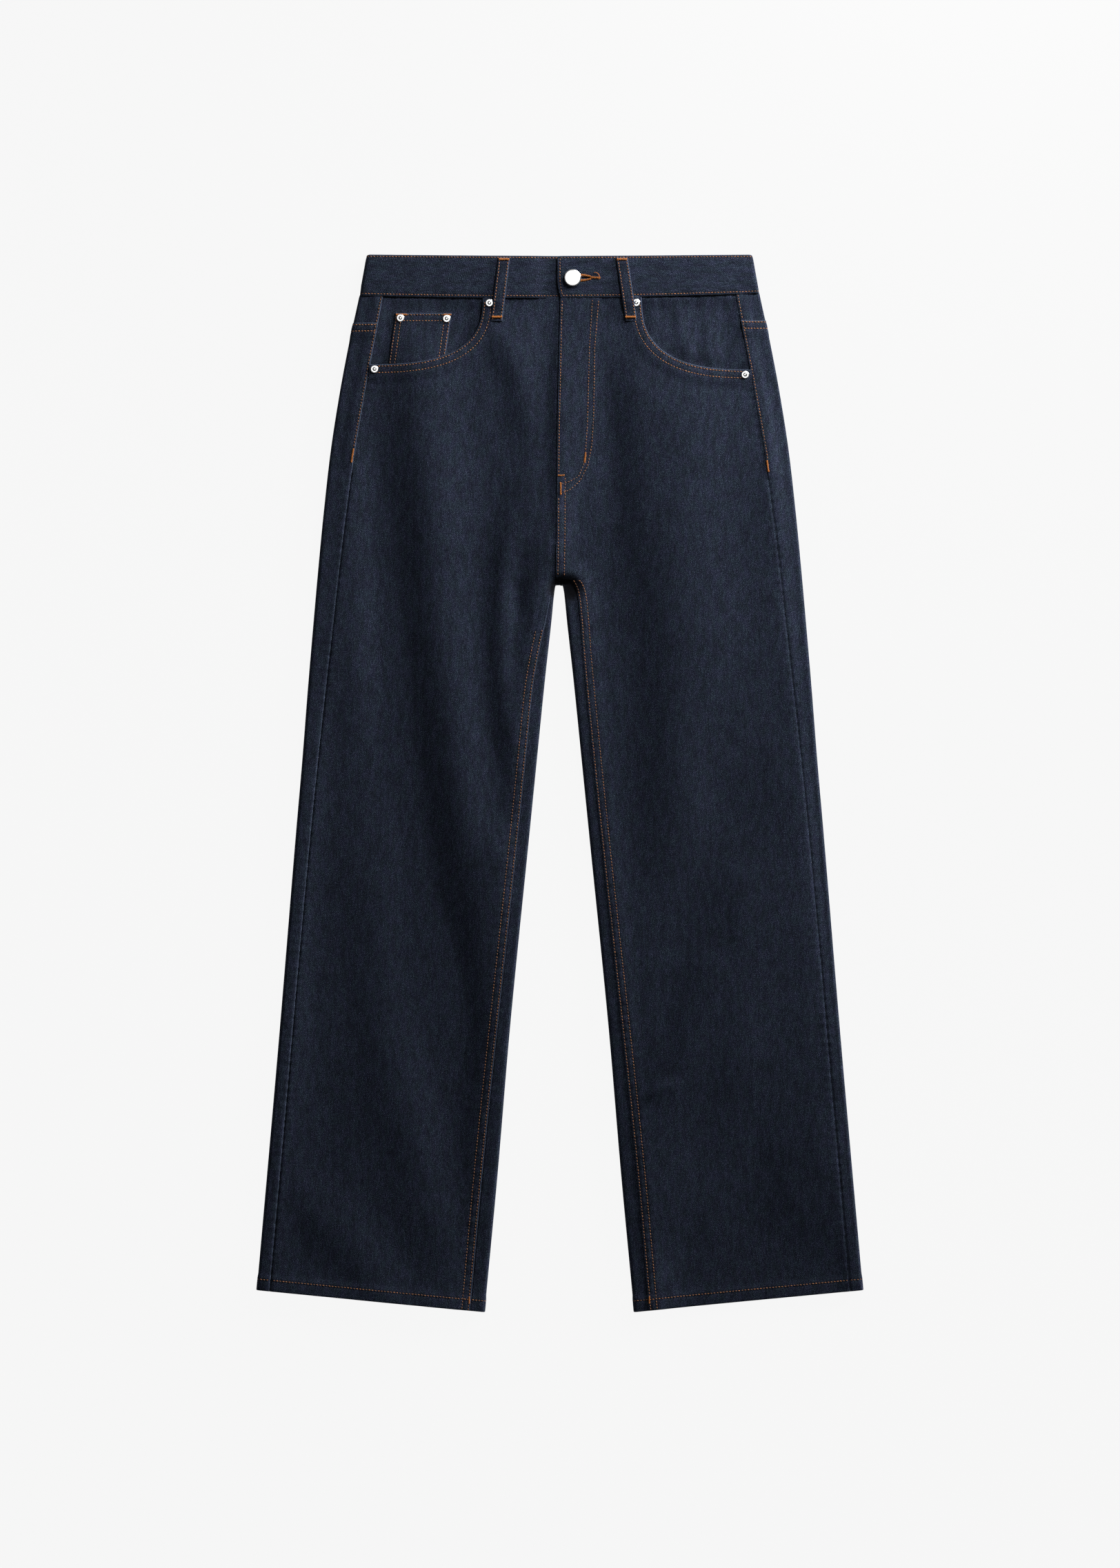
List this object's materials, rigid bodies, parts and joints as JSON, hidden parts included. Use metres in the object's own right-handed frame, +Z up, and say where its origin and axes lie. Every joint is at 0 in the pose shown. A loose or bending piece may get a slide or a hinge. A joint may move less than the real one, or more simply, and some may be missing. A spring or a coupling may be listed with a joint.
{
  "type": "straight leg jeans",
  "caption": "Straight leg five-pocket jeans in dark denim, laid flat with the front up, with a waistband, belt loops, rivets and a tack button.",
  "frame": {"origin": "centre of the lowest plane of the garment's box, on the surface it lies on", "axes": "+Y from hem to waist, +Z up from the surface through the front, +X to the wearer's left, which is the right of a viewer facing the front"},
  "size_m": [0.5962, 1.0423, 0.011],
  "materials": {
    "denim": "dark indigo twill, matt",
    "metal": "polished silver",
    "thread": "rust and tan topstitching"
  },
  "bodies": {
    "root": {"front_left": "denim", "front_right": "denim", "back_left": "denim", "back_right": "denim", "yoke_left": "denim", "yoke_right": "denim", "waistband": "denim", "pocket_facing_left": "denim", "pocket_facing_right": "denim", "coin_pocket": "denim", "back_pocket_left": "denim", "back_pocket_right": "denim", "belt_loop_front_left": "denim", "belt_loop_front_right": "denim", "belt_loop_side_left": "denim", "belt_loop_side_right": "denim", "belt_loop_back": "denim", "rivet_left_top": "metal", "rivet_left_side": "metal", "rivet_right_top": "metal", "rivet_right_side": "metal", "rivet_coin_outer": "metal", "rivet_coin_inner": "metal", "button": "metal"}
  },
  "joints": []
}
